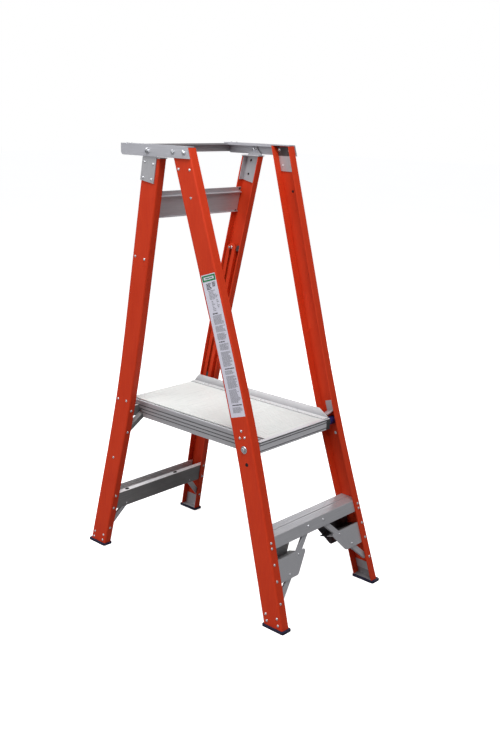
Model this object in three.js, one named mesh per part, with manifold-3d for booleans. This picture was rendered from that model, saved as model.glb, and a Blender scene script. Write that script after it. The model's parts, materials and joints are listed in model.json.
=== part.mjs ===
// Folding platform step ladder: fibreglass stiles, an aluminium platform and step, and a guard frame on top.
// Millimetres. +Z is up, the climber faces +Y, and the origin is on the floor at the middle of the footprint.
import * as THREE from 'three';
import { mergeVertices } from 'three/addons/utils/BufferGeometryUtils.js';
import Module from 'manifold-3d';

const wasm = await Module();
wasm.setup();

// ---------------------------------------------------------------- driving dimensions
const LADDER_HEIGHT = 1529;
const PLATFORM_HEIGHT = 600;
const STEP_HEIGHT = 298;
const GAP = 0.3; // between pieces that touch
const WALL = 4.2; // fibreglass thickness
const SHEET = 2.5; // aluminium sheet and extrusion thickness

// A pair of stiles leans in as it goes down from the top, and flares out again below the platform.
const BEND_HEIGHT = 644;
const BEND_BLEND = 92;
const STILE_DEPTH = 82; // level distance from the front face to the back face
const FRONT = {
  topHalfWidth: 261, taper: 0.035, flare: 0.091, toe: -501.5, lean: 0.3034, flange: 33, top: 1525,
};
const REAR = {
  topHalfWidth: 256.8, taper: 0.034, flare: 0.085, toe: 419.3, lean: -0.2146, flange: 29, top: 1484,
};

// Feet
const PAD_THICKNESS = 8;
const PAD_OVERHANG = 6;
const STILE_FOOT = PAD_THICKNESS + GAP;

// Guard frame on top
const RAIL_HEIGHT = 38;
const RAIL_SHEET = 3.5;
const RAIL_FLANGE = 32;
const RAIL_LIP = 9;
const RAIL_REAR = 284.5;
const RAIL_OUTER = FRONT.topHalfWidth + GAP + RAIL_SHEET;

// Hinges: where the rear frame hangs from the guard frame, and where the platform turns on the front stiles
const TOP_HINGE = { y: 149.7, z: 1507.9, radius: 6 };
const PLATFORM_HINGE = { y: -286.8, z: 574.7, radius: 8 };
const RUNNING_GAP = 0.3;

// Platform
const DECK_HALF_WIDTH = 165; // over the side beams
const PLANK_HALF_LENGTH = 157.5; // a narrow dark gutter is left along each beam
const DECK_FRONT = -320.5;
const DECK_REAR = 359.5;
const DECK_THICKNESS = 23;
const NOSE_LEFT = -198; // the nose covers the hinge's sleeve on the left
const NOSE_RIGHT = 172;
const NOSE_DEPTH = 14.5;
const NOSE_HEIGHT = 40;
const BEAM_HEIGHT = 66;
const BEAM_SHEET = 4.5;
const BEAM_REAR = 317; // below the deck, the side beams stop in front of the rear crossbar
const KICKBOARD_HEIGHT = 30;
const REAR_ROD = { y: 346.5, z: 588, radius: 5, halfLength: 200 };

// Guides inside the rear stiles
const GUIDE_BOTTOM = 582;
const GUIDE_TOP = 1158;
const GUIDE_STANDOFF = 8.7;
const GUIDE_THICKNESS = 13;
const GUIDE_WALL = 2.2;
const GUIDE_FRONT = 30; // level distance behind the stile's front face
const GUIDE_BACK = 74;
const GUIDE_SLOT = 12;
const GUIDE_CLOSED_END = 21;

// ---------------------------------------------------------------- materials
const finish = (color, roughness, metalness) => () =>
  new THREE.MeshStandardMaterial({ color, roughness, metalness });
const fibreglass = finish(0xc23c18, 0.45, 0);
const aluminium = finish(0xa6a8ac, 0.42, 0.9);
const brightDeck = finish(0xd5d7d6, 0.5, 0.75);
const steel = finish(0xb9bcc0, 0.3, 1);
const rubber = finish(0x1b1f3a, 0.8, 0);
const nylon = finish(0x22255c, 0.5, 0);

// ---------------------------------------------------------------- geometry helpers
function signedVolume(geometry) {
  const points = geometry.getAttribute('position');
  const corners = [new THREE.Vector3(), new THREE.Vector3(), new THREE.Vector3()];
  let volume = 0;
  for (let i = 0; i < geometry.index.count; i += 3) {
    corners.forEach((corner, k) => corner.fromBufferAttribute(points, geometry.index.getX(i + k)));
    volume += corners[0].dot(corners[1].clone().cross(corners[2]));
  }
  return volume;
}

// Merge shared vertices and turn every face outwards.
function welded(geometry) {
  geometry.deleteAttribute('normal');
  geometry.deleteAttribute('uv');
  const solid = mergeVertices(geometry, 1e-4);
  if (signedVolume(solid) < 0) {
    const order = solid.index.array;
    for (let i = 0; i < order.length; i += 3) {
      [order[i], order[i + 1]] = [order[i + 1], order[i]];
    }
  }
  return solid;
}

function toManifold(geometry) {
  const solid = welded(geometry);
  return new wasm.Manifold(new wasm.Mesh({
    numProp: 3,
    vertProperties: new Float32Array(solid.getAttribute('position').array),
    triVerts: new Uint32Array(solid.index.array),
  }));
}

function fromManifold(manifold) {
  const mesh = manifold.getMesh();
  const geometry = new THREE.BufferGeometry();
  geometry.setAttribute('position', new THREE.BufferAttribute(mesh.vertProperties, 3));
  geometry.setIndex(new THREE.BufferAttribute(mesh.triVerts, 1));
  return geometry;
}

function joined(...geometries) {
  return fromManifold(geometries.map(toManifold).reduce((sum, next) => sum.add(next)));
}

function cut(geometry, ...tools) {
  const solids = tools.map(toManifold);
  return fromManifold(solids.reduce((rest, tool) => rest.subtract(tool), toManifold(geometry)));
}

function outline(points) {
  return new THREE.Shape(points.map(([u, v]) => new THREE.Vector2(u, v)));
}

function ringHole(u, v, radius) {
  return new THREE.Path().absarc(u, v, radius, 0, 2 * Math.PI, true);
}

// A section in (x, y), extruded upwards between two heights.
function upright(shape, bottom, top, steps = 1) {
  const geometry = new THREE.ExtrudeGeometry(shape, {
    depth: top - bottom, steps, bevelEnabled: false, curveSegments: 3,
  });
  return geometry.translate(0, 0, bottom);
}

// A section in (y, z), extruded along X between two places.
function acrossX(shape, from, to, curveSegments = 10) {
  const geometry = new THREE.ExtrudeGeometry(shape, {
    depth: to - from, bevelEnabled: false, curveSegments,
  });
  const axes = new THREE.Matrix4().makeBasis(
    new THREE.Vector3(0, 1, 0), new THREE.Vector3(0, 0, 1), new THREE.Vector3(1, 0, 0));
  return geometry.applyMatrix4(axes).translate(from, 0, 0);
}

// A section in (x, z), extruded along Y between two places.
function alongY(shape, from, to) {
  const geometry = new THREE.ExtrudeGeometry(shape, {
    depth: to - from, bevelEnabled: false, curveSegments: 4,
  });
  const axes = new THREE.Matrix4().makeBasis(
    new THREE.Vector3(1, 0, 0), new THREE.Vector3(0, 0, 1), new THREE.Vector3(0, -1, 0));
  return geometry.applyMatrix4(axes).translate(0, to, 0);
}

function box(low, high) {
  const size = high.map((value, i) => value - low[i]);
  const middle = high.map((value, i) => (value + low[i]) / 2);
  return new THREE.BoxGeometry(...size).translate(...middle);
}

function rod(radius, from, to, y, z, sides = 16) {
  const geometry = new THREE.CylinderGeometry(radius, radius, to - from, sides);
  return geometry.rotateZ(Math.PI / 2).translate((from + to) / 2, y, z);
}

// A turned piece about the X axis, from (place along X, radius) points that start and end on the axis.
function turned(profile, sides = 16) {
  const points = profile.map(([along, radius]) => new THREE.Vector2(radius, along));
  return new THREE.LatheGeometry(points, sides).rotateZ(-Math.PI / 2);
}

function mesh(name, geometry, material) {
  const piece = new THREE.Mesh(welded(geometry), material());
  piece.name = name;
  return piece;
}

const SIDES = [['left', -1], ['right', 1]];

// ---------------------------------------------------------------- the stiles' shape
// Half the width over the two webs of a pair of stiles, at height z.
function halfWidth(stile, z) {
  const bend = BEND_BLEND * Math.log1p(Math.exp((BEND_HEIGHT - z) / BEND_BLEND));
  return stile.topHalfWidth - stile.taper * (LADDER_HEIGHT - z) + stile.flare * bend;
}

// Where a stile's front face is, at height z.
function frontFace(stile, z) {
  return stile.toe + stile.lean * z;
}

// How much longer a level distance through a leaning stile is than the square one.
const slant = (stile) => Math.hypot(1, stile.lean);

function mapPoints(geometry, place) {
  const points = geometry.getAttribute('position');
  for (let i = 0; i < points.count; i += 1) {
    points.setXYZ(i, ...place(points.getX(i), points.getY(i), points.getZ(i)));
  }
  return geometry;
}

// Bend a piece to a stile: x is its distance in from the web's outer face, y its level distance behind the
// stile's front face, and z its height.
function alongStile(geometry, stile, side) {
  return mapPoints(geometry, (inset, depth, z) =>
    [side * (halfWidth(stile, z) - inset), frontFace(stile, z) + depth, z]);
}

// The same, but y is the ladder's own.
function againstWeb(geometry, stile, side) {
  return mapPoints(geometry, (inset, y, z) => [side * (halfWidth(stile, z) - inset), y, z]);
}

// A frame square to a leaning pair of stiles: local z runs up the stiles and local y goes back through them.
function stilePlane(stile) {
  const plane = new THREE.Group();
  plane.position.y = stile.toe;
  plane.rotation.x = -Math.atan(stile.lean);
  return plane;
}

// The local height of a point on the front face, in that frame.
const upPlane = (stile, z) => z * slant(stile);
const squareDepth = (stile) => STILE_DEPTH / slant(stile);

// ---------------------------------------------------------------- pieces of both frames
// A channel: the web outside, and two flanges pointing in. The outer corners are rounded.
function stileSection(stile) {
  const radius = 6;
  const through = WALL * slant(stile);
  const shape = new THREE.Shape();
  shape.moveTo(radius, 0);
  shape.lineTo(stile.flange, 0);
  shape.lineTo(stile.flange, through);
  shape.lineTo(WALL, through);
  shape.lineTo(WALL, STILE_DEPTH - through);
  shape.lineTo(stile.flange, STILE_DEPTH - through);
  shape.lineTo(stile.flange, STILE_DEPTH);
  shape.lineTo(radius, STILE_DEPTH);
  shape.absarc(radius, STILE_DEPTH - radius, radius, Math.PI / 2, Math.PI, false);
  shape.absarc(radius, radius, radius, Math.PI, 1.5 * Math.PI, false);
  return shape;
}

function stileBody(stile, side, holes) {
  const steps = 12; // enough for a smooth bow
  const body = alongStile(upright(stileSection(stile), STILE_FOOT, stile.top, steps), stile, side);
  const drills = holes.map(({ y, z, radius }) => rod(radius, 180, 300, y, z).scale(side, 1, 1));
  return cut(body, ...drills);
}

function footPad(stile, side) {
  const width = stile.flange + 2 * PAD_OVERHANG;
  const depth = STILE_DEPTH + 2 * PAD_OVERHANG;
  const radius = 7;
  const shape = new THREE.Shape();
  shape.absarc(width - radius, radius, radius, -Math.PI / 2, 0, false);
  shape.absarc(width - radius, depth - radius, radius, 0, Math.PI / 2, false);
  shape.absarc(radius, depth - radius, radius, Math.PI / 2, Math.PI, false);
  shape.absarc(radius, radius, radius, Math.PI, 1.5 * Math.PI, false);
  const pad = upright(shape, 0, PAD_THICKNESS);
  const outer = halfWidth(stile, 0) + PAD_OVERHANG;
  return mapPoints(pad, (x, y, z) => [side * (outer - x), stile.toe - PAD_OVERHANG + y, z]);
}

// An angle inside the foot of a stile: one leg against the web, one over the pad.
function footBracket(stile, side) {
  const start = WALL + GAP;
  const height = 52;
  const angle = outline([
    [start, STILE_FOOT], [stile.flange, STILE_FOOT], [stile.flange, STILE_FOOT + SHEET],
    [start + SHEET, STILE_FOOT + SHEET], [start + SHEET, STILE_FOOT + height], [start, STILE_FOOT + height],
  ]);
  const clear = WALL * slant(stile) + GAP;
  return alongStile(alongY(angle, clear, STILE_DEPTH - clear), stile, side);
}

// A narrow channel bar between two points of a stile plane, used for the diagonal braces. It is built along
// local X about its own middle, with its web to the front, and then turned in the plane.
function braceBar(name, side, { from, to, front, depth }) {
  const width = 20;
  const dx = to[0] - from[0];
  const dz = to[1] - from[1];
  const half = Math.hypot(dx, dz) / 2;
  const section = outline([
    [0, -width / 2], [depth, -width / 2], [depth, -width / 2 + 2], [2, -width / 2 + 2],
    [2, width / 2 - 2], [depth, width / 2 - 2], [depth, width / 2], [0, width / 2],
  ]);
  const bar = mesh(name, acrossX(section, -half, half), aluminium);
  bar.position.set(side * (from[0] + to[0]) / 2, front, (from[1] + to[1]) / 2);
  bar.rotation.y = -side * Math.atan2(dz, dx);
  return bar;
}

// The block that leaves room for a brace where it crosses a plate.
function braceSlot(side, { from, to, front, depth }) {
  const slot = new THREE.BoxGeometry(Math.hypot(to[0] - from[0], to[1] - from[1]), depth + 2, 22);
  slot.rotateY(-side * Math.atan2(to[1] - from[1], to[0] - from[0]));
  return slot.translate(side * (from[0] + to[0]) / 2, front + depth / 2, (from[1] + to[1]) / 2);
}

// ---------------------------------------------------------------- front frame
const RAIL_BOLTS = [['front', -22.1], ['rear', 28.4]];
const RAIL_BOLT = { z: 1509.3, radius: 4 };
const DRAIN_HOLES = [{ z: 527, depth: 40, radius: 5.2 }, { z: 1369, depth: 41, radius: 4 }];

function frontStile(side) {
  const holes = [
    { ...PLATFORM_HINGE, radius: PLATFORM_HINGE.radius + RUNNING_GAP },
    ...RAIL_BOLTS.map(([, y]) => ({ y, z: RAIL_BOLT.z, radius: RAIL_BOLT.radius + RUNNING_GAP })),
    ...DRAIN_HOLES.map(({ z, depth, radius }) => ({ y: frontFace(FRONT, z) + depth, z, radius })),
  ];
  return stileBody(FRONT, side, holes);
}

// A stiffening plate on the inside of a front stile's web, under the rail bolts.
function frontTopPlate(side) {
  const plate = upright(outline([[4.5, 9], [7.5, 9], [7.5, 77], [4.5, 77]]), 1437, 1521);
  const holes = RAIL_BOLTS.map(([, y]) => rod(RAIL_BOLT.radius + RUNNING_GAP, 180, 300, y, RAIL_BOLT.z));
  return cut(alongStile(plate, FRONT, side), ...holes.map((hole) => hole.scale(side, 1, 1)));
}

// A small bent plate over the platform's hinge, riveted to the web and square to the stile.
function stopBracket(side) {
  const fold = PLATFORM_HEIGHT + 6;
  const top = fold + 37.5;
  const angle = outline([
    [4.5, fold], [48, fold - 8], [48, fold - 5], [7.5, fold + 3], [7.5, top], [4.5, top],
  ]);
  const square = mapPoints(alongY(angle, 21, 56), (x, y, z) => [x, y, z - FRONT.lean * (y - 38)]);
  return alongStile(square, FRONT, side);
}

// The front step: a level tread with two skirts that follow the stiles' flanges.
function stepSection() {
  const skirt = 38;
  const nose = 2;
  const bottom = STEP_HEIGHT - skirt;
  const clear = WALL * slant(FRONT) + GAP;
  const front = (z) => frontFace(FRONT, z) + clear;
  const back = (z) => frontFace(FRONT, z) + STILE_DEPTH - clear;
  const under = STEP_HEIGHT - 3;
  const middle = (front(STEP_HEIGHT) + back(STEP_HEIGHT)) / 2;
  const grooves = [28, 20, 12, 0, -12, -20, -27].flatMap((offset) => {
    const [half, floor] = offset === 0 ? [3, STEP_HEIGHT - 2] : [1.6, STEP_HEIGHT - 0.5];
    const y = middle + offset;
    const foot = half - 0.4;
    return [[y + half, STEP_HEIGHT], [y + foot, floor], [y - foot, floor], [y - half, STEP_HEIGHT]];
  });
  return outline([
    [front(bottom), bottom], [front(bottom) + SHEET, bottom], [front(under) + SHEET, under],
    [back(under) - SHEET, under], [back(bottom) - SHEET, bottom], [back(bottom), bottom],
    [back(STEP_HEIGHT) - 1, STEP_HEIGHT], ...grooves,
    [front(STEP_HEIGHT) + nose, STEP_HEIGHT], [front(STEP_HEIGHT) + 0.5, STEP_HEIGHT - 0.5],
    [front(STEP_HEIGHT - nose), STEP_HEIGHT - nose],
  ]);
}

const STEP_HALF_LENGTH = halfWidth(FRONT, STEP_HEIGHT) - WALL - 2 * GAP;
const STEP_BRACE = { from: [40, upPlane(FRONT, 279)], to: [234, upPlane(FRONT, 98)], front: 8.2, depth: 9 };

// The corner bracket under the step: a front plate, a rear one that stands higher, and a web between them.
function stepGusset(side) {
  const top = upPlane(FRONT, 222);
  const bottom = upPlane(FRONT, 150);
  const outer = halfWidth(FRONT, 222) - WALL - 2;
  const plate = (low, high) => outline([
    [81, high], [78, high - 3], [78, high - 10], [80, high - 14], [128, low + 5], [134, low + 1], [138, low],
    [outer, low], [outer, high],
  ]);
  const flange = WALL + GAP + 0.2;
  const rear = squareDepth(FRONT) - flange;
  const web = box([84, flange + 1, top - 12], [outer, rear - 1, top - 9]);
  const bracket = joined(
    alongY(plate(bottom, top), flange, flange + 3),
    alongY(plate(bottom + 19, upPlane(FRONT, 250)), rear - 3, rear), web);
  return cut(bracket, braceSlot(1, STEP_BRACE)).scale(side, 1, 1);
}

// ---------------------------------------------------------------- guard frame on top of the front stiles
// A side rail: an upright plate outside the stile, a flange over it, and a short lip behind the stile.
function sideRail(side) {
  const bottom = LADDER_HEIGHT - RAIL_HEIGHT;
  const corner = 12;
  const plate = new THREE.Shape();
  plate.moveTo(frontFace(FRONT, bottom) + 0.5, bottom);
  plate.lineTo(RAIL_REAR - corner, bottom);
  plate.absarc(RAIL_REAR - corner, bottom + corner, corner, -Math.PI / 2, 0, false);
  plate.lineTo(RAIL_REAR, LADDER_HEIGHT);
  plate.lineTo(frontFace(FRONT, LADDER_HEIGHT) + 0.5, LADDER_HEIGHT);
  const inner = RAIL_OUTER - RAIL_SHEET;
  const flangeEdge = RAIL_OUTER - RAIL_FLANGE;
  const flangeFront = frontFace(FRONT, LADDER_HEIGHT) + 0.5;
  const lipFront = frontFace(FRONT, LADDER_HEIGHT) + STILE_DEPTH + 4;
  const underFlange = LADDER_HEIGHT - RAIL_SHEET;
  const rail = joined(
    acrossX(plate, inner, RAIL_OUTER, 4),
    box([flangeEdge, flangeFront, underFlange], [RAIL_OUTER - 1, RAIL_REAR, LADDER_HEIGHT]),
    box(
      [flangeEdge, lipFront, LADDER_HEIGHT - RAIL_LIP],
      [flangeEdge + SHEET, RAIL_REAR - 18, LADDER_HEIGHT]),
  );
  const holes = [
    rod(TOP_HINGE.radius + RUNNING_GAP, 255, 270, TOP_HINGE.y, TOP_HINGE.z),
    ...RAIL_BOLTS.map(([, y]) => rod(RAIL_BOLT.radius + RUNNING_GAP, 255, 270, y, RAIL_BOLT.z)),
  ];
  return cut(rail, ...holes).scale(side, 1, 1);
}

// The rear rail between the two side rails: a wall at the back, a flange over it, and a short lip in front.
function rearRail() {
  const top = LADDER_HEIGHT - RAIL_SHEET - GAP;
  const bottom = LADDER_HEIGHT - RAIL_HEIGHT + 4;
  const front = RAIL_REAR - 17;
  const back = RAIL_REAR - 1;
  const section = outline([
    [front, top - 6], [front + SHEET, top - 6], [front + SHEET, top - SHEET], [back - SHEET, top - SHEET],
    [back - SHEET, bottom], [back, bottom], [back, top], [front, top],
  ]);
  const half = RAIL_OUTER - RAIL_SHEET - GAP;
  return acrossX(section, -half, half);
}

// A round-headed bolt along +X with its head outside and a riveted or nutted end inside.
function boltProfile(shank, length, head, headHeight, tail, tailHeight) {
  return [
    [-length - tailHeight, 0], [-length - tailHeight, tail * 0.8], [-length - tailHeight * 0.7, tail],
    [-length, tail], [-length, shank], [0, shank], [0, head], [headHeight * 0.4, head * 0.92],
    [headHeight * 0.8, head * 0.6], [headHeight, head * 0.2], [headHeight, 0],
  ];
}

function bolt(name, side, x, y, z, profile) {
  const piece = mesh(name, turned(profile), steel);
  piece.position.set(side * x, y, z);
  piece.rotation.z = side > 0 ? 0 : Math.PI;
  return piece;
}

const hingeWeb = halfWidth(FRONT, PLATFORM_HINGE.z);
const HEAD_CLEAR = 1; // the webs slope a little under a bolt's head
const NUT_RADIUS = 12;

// The platform's hinge bolt, with a broad washer under its head, through the stile, the spacer and the beam.
function platformBolt() {
  const length = hingeWeb + HEAD_CLEAR - (DECK_HALF_WIDTH - BEAM_SHEET - GAP);
  const shank = PLATFORM_HINGE.radius;
  return [
    [-length - 8, 0], [-length - 8, shank], [-length - 6, NUT_RADIUS], [-length, NUT_RADIUS],
    [-length, shank], [0, shank],
    [0, 13], [1.6, 13], [2, 8], [5, 7.4], [6.6, 4.5], [7, 0],
  ];
}

// ---------------------------------------------------------------- rear frame
// The plate outside the top of a rear stile. It goes up behind the side rail, round the hinge bolt.
function rearTopBracket(side) {
  const ear = 15.5;
  const shoulder = 1488;
  const shape = new THREE.Shape();
  shape.moveTo(frontFace(REAR, 1402) + 13, 1402);
  shape.lineTo(frontFace(REAR, 1412) + 81, 1412);
  shape.lineTo(frontFace(REAR, shoulder) + 81, shoulder);
  shape.absarc(TOP_HINGE.y, TOP_HINGE.z, ear, 0, Math.PI, false);
  shape.lineTo(frontFace(REAR, shoulder) + 13, shoulder);
  shape.holes.push(ringHole(TOP_HINGE.y, TOP_HINGE.z, TOP_HINGE.radius + RUNNING_GAP));
  return againstWeb(acrossX(shape, -3.6, -GAP), REAR, side);
}

// The lining inside the top of a rear stile: a leg on the web, one on the rear flange, and a cap over the
// end.
function rearTopCap(side) {
  const start = WALL + GAP;
  const back = STILE_DEPTH - WALL * slant(REAR) - GAP;
  const top = REAR.top + GAP;
  const web = outline([[21, 1386], [back, 1398], [back, top + 1], [21, top + 1]]);
  const webLeg = acrossX(web, start, start + SHEET);
  const flangeLeg = box([start, back - SHEET, 1398], [REAR.flange - 2, back, top + 1]);
  const cap = box([0, -2, top], [REAR.flange + 3, STILE_DEPTH + 1, top + 3]);
  const holes = [1418, 1468].map((z) => rod(5, 0, 12, 54, z));
  return alongStile(cut(joined(webLeg, flangeLeg, cap), ...holes), REAR, side);
}

// The lower crossbar fills the depth between the flanges.
const CROSSBAR_FRONT = WALL + GAP;
const CROSSBAR_BACK = squareDepth(REAR) - WALL - GAP;

function crossbarSection(bottom, top, rearTop, lip) {
  const face = CROSSBAR_BACK - SHEET;
  const ribs = [];
  for (let z = rearTop - 5; z > bottom + 12; z -= 9) {
    ribs.push([face, z], [face - 1.5, z - 1], [face - 1.5, z - 3], [face, z - 4]);
  }
  return outline([
    [CROSSBAR_FRONT, bottom], [CROSSBAR_BACK, bottom], [CROSSBAR_BACK, rearTop],
    [face, rearTop], ...ribs, [face, bottom + SHEET],
    [CROSSBAR_FRONT + SHEET, bottom + SHEET], [CROSSBAR_FRONT + SHEET, top - SHEET],
    [CROSSBAR_FRONT + lip, top - SHEET], [CROSSBAR_FRONT + lip, top], [CROSSBAR_FRONT, top],
  ]);
}

function crossbarHalfLength(z) {
  return halfWidth(REAR, z) - WALL - 2 * GAP;
}

const LOWER_BRACE = { from: [152, upPlane(REAR, 178)], to: [242, upPlane(REAR, 76)], front: 7.6, depth: 9 };
const MIDDLE_BRACE = { from: [144, upPlane(REAR, 539)], to: [214, upPlane(REAR, 484)], front: 5, depth: 19 };
const LOWER_HOLES = [-168, 85]; // two oval holes in the top lip, as places along X
const LOWER_TOP = 218;

function lowerCrossbar() {
  const bottom = upPlane(REAR, 150);
  const top = upPlane(REAR, LOWER_TOP);
  const half = crossbarHalfLength(240);
  const bar = acrossX(crossbarSection(bottom, top, top - 16, 17), -half, half);
  const slots = SIDES.map(([, side]) => braceSlot(side, LOWER_BRACE));
  const ovals = LOWER_HOLES.map((x) => {
    const oval = new THREE.CylinderGeometry(5, 5, 12, 16).rotateX(Math.PI / 2).scale(1.8, 1, 1);
    return oval.translate(x, CROSSBAR_FRONT + 10, top);
  });
  return cut(bar, ...slots, ...ovals);
}

// The upper crossbar is a plate against the rear flanges, with two narrow ribs that point forwards.
function upperCrossbar() {
  const bottom = upPlane(REAR, 1262);
  const rib = upPlane(REAR, 1335);
  const top = upPlane(REAR, 1354);
  const back = CROSSBAR_BACK;
  const face = back - SHEET;
  const section = outline([
    [back, bottom], [back, top], [face, top], [face, rib + SHEET], [face - 8, rib + SHEET], [face - 8, rib],
    [face, rib], [face, bottom + SHEET], [face - 5, bottom + SHEET], [face - 5, bottom],
  ]);
  const half = crossbarHalfLength(1270);
  return acrossX(section, -half, half);
}

// The middle crossbar is open below, and the platform's deck comes to rest on its level top.
function middleCrossbar() {
  const bottom = upPlane(REAR, 529);
  const top = upPlane(REAR, 560);
  const front = MIDDLE_BRACE.front + MIDDLE_BRACE.depth + GAP;
  const back = CROSSBAR_BACK;
  const frontTop = top - REAR.lean * (back - front);
  const section = outline([
    [front, bottom], [front + SHEET, bottom], [front + SHEET, frontTop - SHEET], [back - SHEET, top - SHEET],
    [back - SHEET, bottom], [back, bottom], [back, top], [front, frontTop],
  ]);
  const half = halfWidth(REAR, 690) - WALL - 2 * GAP;
  return acrossX(section, -half, half);
}

// The guides are straight, so they follow the chord of the bowed stile between their two ends.
const guideSlope = (halfWidth(REAR, GUIDE_TOP) - halfWidth(REAR, GUIDE_BOTTOM)) / (GUIDE_TOP - GUIDE_BOTTOM);

function alongGuide(geometry, side) {
  return mapPoints(geometry, (inset, depth, z) => {
    const web = halfWidth(REAR, GUIDE_BOTTOM) + guideSlope * (z - GUIDE_BOTTOM);
    return [side * (web - GUIDE_STANDOFF - inset), frontFace(REAR, z) + depth, z];
  });
}

const guideMiddle = (GUIDE_FRONT + GUIDE_BACK) / 2;

// A slotted channel. Its top end is rounded, and closed above the slot.
function guideChannel(side) {
  const inner = GUIDE_THICKNESS - GUIDE_WALL;
  const section = outline([
    [0, GUIDE_FRONT], [GUIDE_THICKNESS, GUIDE_FRONT], [GUIDE_THICKNESS, guideMiddle - GUIDE_SLOT / 2],
    [inner, guideMiddle - GUIDE_SLOT / 2], [inner, GUIDE_FRONT + GUIDE_WALL],
    [GUIDE_WALL, GUIDE_FRONT + GUIDE_WALL], [GUIDE_WALL, GUIDE_BACK - GUIDE_WALL],
    [inner, GUIDE_BACK - GUIDE_WALL], [inner, guideMiddle + GUIDE_SLOT / 2],
    [GUIDE_THICKNESS, guideMiddle + GUIDE_SLOT / 2], [GUIDE_THICKNESS, GUIDE_BACK], [0, GUIDE_BACK],
  ]);
  const radius = (GUIDE_BACK - GUIDE_FRONT) / 2;
  const end = GUIDE_TOP - radius;
  const corners = cut(
    box([-1, GUIDE_FRONT - 1, end], [GUIDE_THICKNESS + 1, GUIDE_BACK + 1, GUIDE_TOP + 1]),
    rod(radius, -2, GUIDE_THICKNESS + 2, guideMiddle, end, 28),
  );
  const closure = box(
    [inner, guideMiddle - GUIDE_SLOT, GUIDE_TOP - GUIDE_CLOSED_END],
    [GUIDE_THICKNESS, guideMiddle + GUIDE_SLOT, GUIDE_TOP]);
  const track = joined(upright(section, GUIDE_BOTTOM, GUIDE_TOP), closure);
  return alongGuide(cut(track, corners), side);
}

// The shoe that runs in a guide, with a boss that comes out through the slot.
function guideShoe(side) {
  const low = REAR_ROD.z - 5;
  const high = REAR_ROD.z + 40;
  const inner = GUIDE_THICKNESS - GUIDE_WALL;
  const block = box(
    [GUIDE_WALL + 0.4, GUIDE_FRONT + GUIDE_WALL + 0.6, low],
    [inner - 0.4, GUIDE_BACK - GUIDE_WALL - 0.6, high]);
  const bossTop = REAR_ROD.z + 18;
  const boss = box([inner - 1, guideMiddle - 5, low], [GUIDE_THICKNESS + 2.5, guideMiddle + 5, bossTop]);
  return alongGuide(joined(block, boss), side);
}

// A block between the guide's top end and the front flange.
function guideStop(side) {
  const section = outline([[4.5, 8], [18, 8], [18, GUIDE_FRONT - 1], [4.5, GUIDE_FRONT - 1]]);
  return alongStile(upright(section, 1130, 1150), REAR, side);
}

// ---------------------------------------------------------------- platform
const DECK_UNDER = PLATFORM_HEIGHT - DECK_THICKNESS;
const PLANK_START = DECK_FRONT + NOSE_DEPTH + GAP;
const PLANK_COUNT = 3;
const PLANK_DEPTH = (DECK_REAR - PLANK_START) / PLANK_COUNT;

// The room that the hinge bolts' nuts take under the deck.
function nutPocket(side) {
  const inner = DECK_HALF_WIDTH - BEAM_SHEET;
  return rod(NUT_RADIUS + 2, inner - 12, inner - 0.01, PLATFORM_HINGE.y, PLATFORM_HINGE.z).scale(side, 1, 1);
}

// One deck plank: a hollow board with fine ribs across its top and a web in the middle.
function deckPlank(number) {
  const depth = PLANK_DEPTH - GAP;
  const top = PLATFORM_HEIGHT;
  const ribs = [];
  for (let y = depth - 8; y > 12; y -= 12) {
    ribs.push([y, top], [y - 1, top - 1], [y - 3, top - 1], [y - 4, top]);
  }
  const shape = outline([[0, DECK_UNDER], [depth, DECK_UNDER], [depth, top], ...ribs, [0, top]]);
  const half = PLANK_HALF_LENGTH;
  const middle = depth / 2;
  const cell = (from, to) => box([-half - 1, from, DECK_UNDER + SHEET], [half + 1, to, top - 3.5]);
  const board = cut(acrossX(shape, -half, half), cell(SHEET, middle - 1), cell(middle + 1, depth - SHEET));
  if (number > 1) return board;
  return cut(board, ...SIDES.map(([, side]) => nutPocket(side).translate(0, -PLANK_START, 0)));
}

// Long grooves in a face at `face`, cut towards `floor`, from [bottom, top] heights below the platform's top.
function faceGrooves(bands, face, floor) {
  return bands.flatMap(([low, high]) => {
    const bottom = PLATFORM_HEIGHT - low;
    const top = PLATFORM_HEIGHT - high;
    return [[face, bottom], [floor, bottom + 0.5], [floor, top - 0.5], [face, top]];
  });
}

// The front edge, with three long grooves in its face.
function platformNose() {
  const bottom = PLATFORM_HEIGHT - NOSE_HEIGHT;
  const back = DECK_FRONT + NOSE_DEPTH;
  const bands = [[34, 30.5], [14.5, 11], [6.5, 2]];
  const grooves = faceGrooves(bands, DECK_FRONT, DECK_FRONT + 2.4).reverse();
  const shape = outline([
    [DECK_FRONT + 1, bottom], [back, bottom], [back, PLATFORM_HEIGHT], [DECK_FRONT + 1, PLATFORM_HEIGHT],
    [DECK_FRONT, PLATFORM_HEIGHT - 1], ...grooves, [DECK_FRONT, bottom + 1],
  ]);
  shape.holes.push(outline([
    [DECK_FRONT + 5, bottom + 3], [back - SHEET, bottom + 3],
    [back - SHEET, PLATFORM_HEIGHT - 3], [DECK_FRONT + 5, PLATFORM_HEIGHT - 3],
  ]));
  return acrossX(shape, NOSE_LEFT, NOSE_RIGHT);
}

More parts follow.
